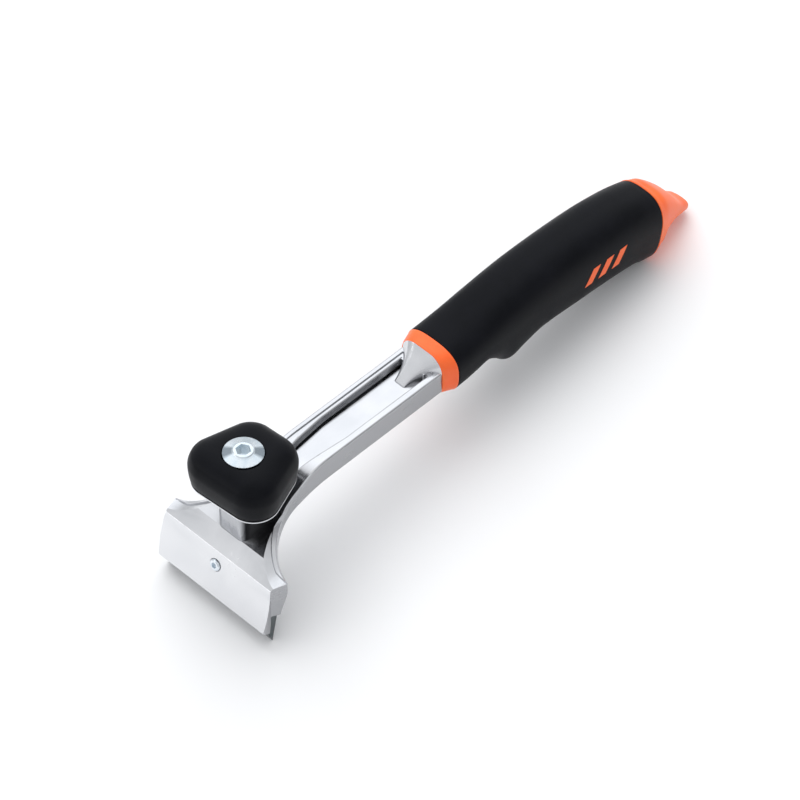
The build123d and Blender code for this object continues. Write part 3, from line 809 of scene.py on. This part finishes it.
def knob():
    """The soft knob: its wall, its domed top and the bolt's well, closed round the hard core."""
    core = knob_outline(CORE_INSET)
    rings = [level_ring(core, CORE_TOP), level_ring(core, KNOB_PROFILE[0][1])]
    for step in range(RIM_STEP * PROFILE_FINE + 1):
        height, inset = smooth_between(KNOB_PROFILE, step / PROFILE_FINE)
        rings.append(level_ring(knob_outline(inset), height))
    mouth = circle_outline(BOLT_WELL + WELL_EDGE)
    rings += knob_top(knob_outline(inset), mouth)
    rings += well_edge(mouth)
    rings.append(level_ring(circle_outline(BOLT_WELL), CORE_TOP))
    return ring_mesh("knob_soft", rings, "knob", "black_rubber", ["knob_grip"], capped=False)


knob()


# ---------------------------------------------------------------- floor and light
FLOOR_HALF = 6
LIGHT_AIM = Vector((0, 0, 0.02))
LOW_SKY = (0.0, (0.62, 0.63, 0.65))      # height above the horizon, colour
HIGH_SKY = (0.8, (0.78, 0.79, 0.81))
SPOTS = [                                # direction, where the spot begins and is full, colour
    (Vector((0.485, 0.49, 0.72)).normalized(), 0.75, 0.985, (1.30, 1.33, 1.38)),
    (Vector((0.50, -0.72, 0.42)).normalized(), 0.82, 0.985, (0.48, 0.48, 0.49)),
]


def floor():
    """A wide square floor at the height that the tool lies on."""
    corners = [(x * FLOOR_HALF, y * FLOOR_HALF, 0) for x, y in ((-1, -1), (1, -1), (1, 1), (-1, 1))]
    plane = mesh_object("floor", corners, [(0, 1, 2, 3)], floor_paint())


def soft_light(name, place, size, power, mirrored=True):
    """A rectangular area light aimed at the tool; if it isn't mirrored, shiny metal doesn't show it."""
    data = bpy.data.lights.new(name, "AREA")
    data.shape = "RECTANGLE"
    data.size, data.size_y = size
    data.energy = power
    light = bpy.data.objects.new(name, data)
    light.location = place
    light.visible_glossy = mirrored
    light.rotation_euler = (LIGHT_AIM - Vector(place)).to_track_quat("-Z", "Y").to_euler()
    bpy.context.scene.collection.objects.link(light)


def toward(nodes, links, place, direction, low, high):
    """A soft spot of the surroundings: 1 toward a direction and 0 away from it."""
    dot = nodes.new("ShaderNodeVectorMath")
    dot.operation = "DOT_PRODUCT"
    dot.inputs[1].default_value = direction
    links.new(place, dot.inputs[0])
    spot = nodes.new("ShaderNodeMapRange")
    spot.interpolation_type = "SMOOTHSTEP"
    spot.inputs["From Min"].default_value = low
    spot.inputs["From Max"].default_value = high
    links.new(dot.outputs["Value"], spot.inputs["Value"])
    return spot.outputs["Result"]


def surroundings():
    """A pale studio, lighter overhead, with one brighter and one darker area."""
    world = bpy.data.worlds.new("studio")
    world.use_nodes = True
    nodes, links = world.node_tree.nodes, world.node_tree.links
    place = nodes.new("ShaderNodeTexCoord").outputs["Generated"]
    height = nodes.new("ShaderNodeSeparateXYZ")
    links.new(place, height.inputs["Vector"])
    ramp = nodes.new("ShaderNodeValToRGB")
    stops = ramp.color_ramp.elements
    for stop, (position, shade) in zip(stops, (LOW_SKY, HIGH_SKY)):
        stop.position, stop.color = position, (*shade, 1)
    links.new(height.outputs["Z"], ramp.inputs["Fac"])
    color = ramp.outputs["Color"]
    for direction, low, high, shade in SPOTS:
        mix = nodes.new("ShaderNodeMix")
        mix.data_type = "RGBA"
        links.new(toward(nodes, links, place, direction, low, high), mix.inputs["Factor"])
        links.new(color, mix.inputs[6])
        mix.inputs[7].default_value = (*shade, 1)
        color = mix.outputs[2]
    links.new(color, nodes["Background"].inputs["Color"])
    nodes["Background"].inputs["Strength"].default_value = 1.0
    bpy.context.scene.world = world


floor()
surroundings()
soft_light("key", (0.5, 0.75, 1.5), (1.8, 1.8), 16.5, mirrored=False)
soft_light("strip", (-1.05, 0.72, 0.72), (0.8, 0.35), 1.6)
